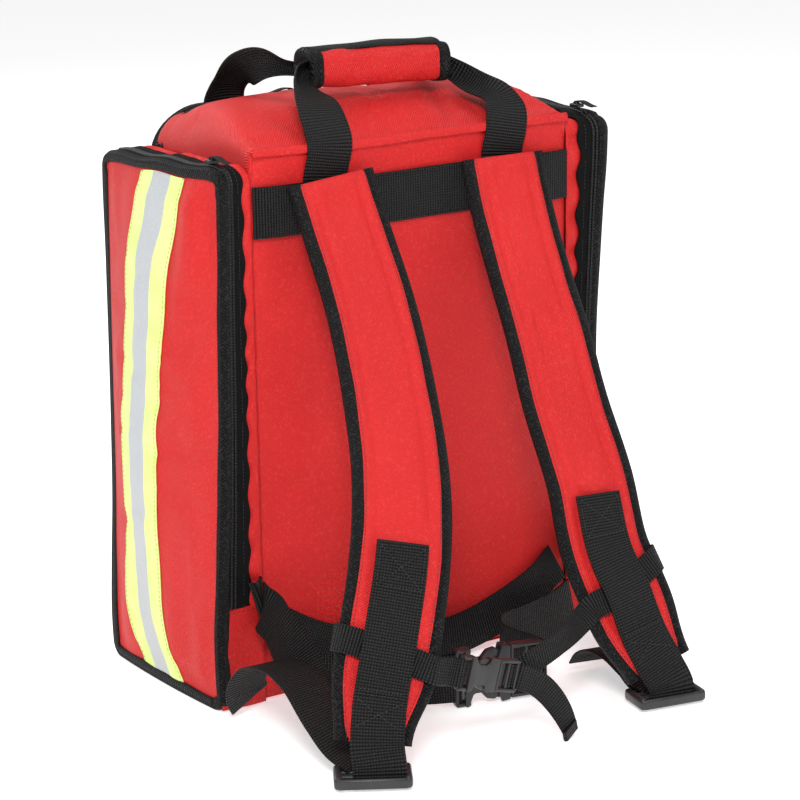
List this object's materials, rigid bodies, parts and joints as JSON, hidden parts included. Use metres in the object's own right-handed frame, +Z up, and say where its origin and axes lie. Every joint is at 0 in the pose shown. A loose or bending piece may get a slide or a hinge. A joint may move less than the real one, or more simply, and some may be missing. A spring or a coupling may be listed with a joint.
{
  "type": "trauma backpack",
  "caption": "Rectangular rescue backpack with zipped side pockets, high-visibility tapes, shoulder straps, sternum and waist straps and a wrapped top handle.",
  "frame": {"origin": "on the floor, under the middle of the main bag", "axes": "+Z up, -Y out of the harness panel, +X along the panel's width"},
  "size_m": [0.3945, 0.3947, 0.5074],
  "materials": {
    "red_cloth": "fine coated polyester weave",
    "black_webbing": "ribbed webbing",
    "black_binding": "herringbone tape",
    "zip_tape": "woven zip tape with coil",
    "zip_metal": "black painted sliders",
    "reflective_tape": "fluorescent tape with silver reflective stripe",
    "black_plastic": "moulded acetal"
  },
  "bodies": {
    "pack": {"back_panel": "red_cloth", "base_panel": "red_cloth", "left_wall": "red_cloth", "right_wall": "red_cloth", "top_panel": "red_cloth", "top_band": "black_webbing", "lower_band": "black_webbing", "seam_tabs": "black_webbing", "main_zip_fixed": "zip_tape", "near_handle": "black_webbing", "far_handle": "black_webbing", "waist_webbing_left": "black_webbing", "waist_buckle_female": "black_plastic", "left_pocket_gusset": "red_cloth", "left_pocket_zip": "zip_tape", "left_side_lower": "red_cloth", "left_binding_lower": "black_binding", "left_tape_lower": "reflective_tape", "right_pocket_gusset": "red_cloth", "right_pocket_zip": "zip_tape", "right_side_lower": "red_cloth", "right_binding_lower": "black_binding", "right_tape_lower": "reflective_tape", "left_adjuster": "black_webbing", "right_adjuster": "black_webbing", "waist_webbing_right": "black_webbing"},
    "lid": {"front_lid": "red_cloth", "main_zip_lid": "zip_tape"},
    "main_slider_left": {"main_slider_left": "zip_metal"},
    "main_slider_right": {"main_slider_right": "zip_metal"},
    "grip": {"grip_wrap": "red_cloth"},
    "grip_flap": {"grip_flap": "black_webbing"},
    "chest_male": {"chest_buckle_male": "black_plastic", "chest_tail": "black_webbing"},
    "chest_arm_upper": {"chest_arm_upper": "black_plastic"},
    "chest_arm_lower": {"chest_arm_lower": "black_plastic"},
    "waist_male": {"waist_buckle_male": "black_plastic"},
    "waist_arm_upper": {"waist_arm_upper": "black_plastic"},
    "waist_arm_lower": {"waist_arm_lower": "black_plastic"},
    "left_flap": {"left_side_flap": "red_cloth", "left_binding_flap": "black_binding", "left_tape_flap": "reflective_tape"},
    "left_slider": {"left_slider": "zip_metal"},
    "left_strap": {"left_shoulder_pad": "red_cloth", "left_shoulder_binding": "black_binding", "left_strap_webbing": "black_webbing", "left_adjuster_tail": "black_webbing", "chest_webbing_left": "black_webbing", "chest_buckle_female": "black_plastic", "chest_webbing_right": "black_webbing"},
    "left_lock": {"left_ladder_lock": "black_plastic"},
    "right_flap": {"right_side_flap": "red_cloth", "right_binding_flap": "black_binding", "right_tape_flap": "reflective_tape"},
    "right_slider": {"right_slider": "zip_metal"},
    "right_strap": {"right_shoulder_pad": "red_cloth", "right_shoulder_binding": "black_binding", "right_strap_webbing": "black_webbing", "right_adjuster_tail": "black_webbing"},
    "right_lock": {"right_ladder_lock": "black_plastic"}
  },
  "joints": [
    {"name": "lid_hinge", "type": "hinge", "parent": "pack", "child": "lid", "pos_m": [0, 0.103, 0.004], "axis": [-1, 0, 0], "range_deg": [0, 90]},
    {"name": "main_slider_left_slide", "type": "slide", "parent": "lid", "child": "main_slider_left", "axis": [-1, 0, 0], "range_m": [0, 0.09]},
    {"name": "main_slider_right_slide", "type": "slide", "parent": "lid", "child": "main_slider_right", "axis": [1, 0, 0], "range_m": [0, 0.09]},
    {"name": "grip_lift", "type": "slide", "parent": "pack", "child": "grip", "axis": [0, 0, 1], "range_m": [0, 0.022], "deforming": ["near_handle", "far_handle"]},
    {"name": "grip_flap_hinge", "type": "hinge", "parent": "grip", "child": "grip_flap", "pos_m": [0, -0.0282, 0.5045], "axis": [1, 0, 0], "range_deg": [0, 100]},
    {"name": "left_flap_hinge", "type": "hinge", "parent": "pack", "child": "left_flap", "pos_m": [-0.1905, 0, 0.084], "axis": [0, -1, 0], "range_deg": [0, 100]},
    {"name": "left_slider_slide", "type": "slide", "parent": "left_flap", "child": "left_slider", "axis": [0, 1, 0], "range_m": [0, 0.11]},
    {"name": "left_strap_swing", "type": "hinge", "parent": "pack", "child": "left_strap", "pos_m": [0, -0.0783, 0.4163], "axis": [-1, 0, 0], "range_deg": [0, 18], "deforming": ["left_adjuster"]},
    {"name": "right_flap_hinge", "type": "hinge", "parent": "pack", "child": "right_flap", "pos_m": [0.1905, 0, 0.084], "axis": [0, 1, 0], "range_deg": [0, 100]},
    {"name": "right_slider_slide", "type": "slide", "parent": "right_flap", "child": "right_slider", "axis": [0, 1, 0], "range_m": [0, 0.11]},
    {"name": "right_strap_swing", "type": "hinge", "parent": "pack", "child": "right_strap", "pos_m": [0, -0.0783, 0.4163], "axis": [-1, 0, 0], "range_deg": [0, 18], "deforming": ["right_adjuster"]},
    {"name": "left_lock_tilt", "type": "hinge", "parent": "left_strap", "child": "left_lock", "pos_m": [-0.17669, -0.27414, 0.0102], "axis": [-0.8572, 0.515, 0], "range_deg": [0, 20]},
    {"name": "right_lock_tilt", "type": "hinge", "parent": "right_strap", "child": "right_lock", "pos_m": [0.10452, -0.27376, 0.0102], "axis": [-0.9816, 0.1908, 0], "range_deg": [0, 20]},
    {"name": "chest_release", "type": "slide", "parent": "left_strap", "child": "chest_male", "axis": [0.9654, 0, -0.2607], "range_m": [0, 0.022], "deforming": ["chest_webbing_right"]},
    {"name": "chest_squeeze_upper", "type": "slide", "parent": "chest_male", "child": "chest_arm_upper", "axis": [-0.2607, 0, -0.9654], "range_m": [0, 0.002], "stiffness_N_per_m": 400},
    {"name": "chest_squeeze_lower", "type": "slide", "parent": "chest_male", "child": "chest_arm_lower", "axis": [0.2607, 0, 0.9654], "range_m": [0, 0.002], "stiffness_N_per_m": 400},
    {"name": "waist_release", "type": "slide", "parent": "pack", "child": "waist_male", "axis": [0.9766, -0.2149, 0], "range_m": [0, 0.03], "deforming": ["waist_webbing_right"]},
    {"name": "waist_squeeze_upper", "type": "slide", "parent": "waist_male", "child": "waist_arm_upper", "axis": [0, 0, -1], "range_m": [0, 0.003], "stiffness_N_per_m": 400},
    {"name": "waist_squeeze_lower", "type": "slide", "parent": "waist_male", "child": "waist_arm_lower", "axis": [0, 0, 1], "range_m": [0, 0.003], "stiffness_N_per_m": 400}
  ],
  "couplings": [
    {"joint": "right_strap_swing", "follows": "left_strap_swing", "ratio": 1},
    {"joint": "chest_squeeze_lower", "follows": "chest_squeeze_upper", "ratio": 1},
    {"joint": "waist_squeeze_lower", "follows": "waist_squeeze_upper", "ratio": 1}
  ]
}
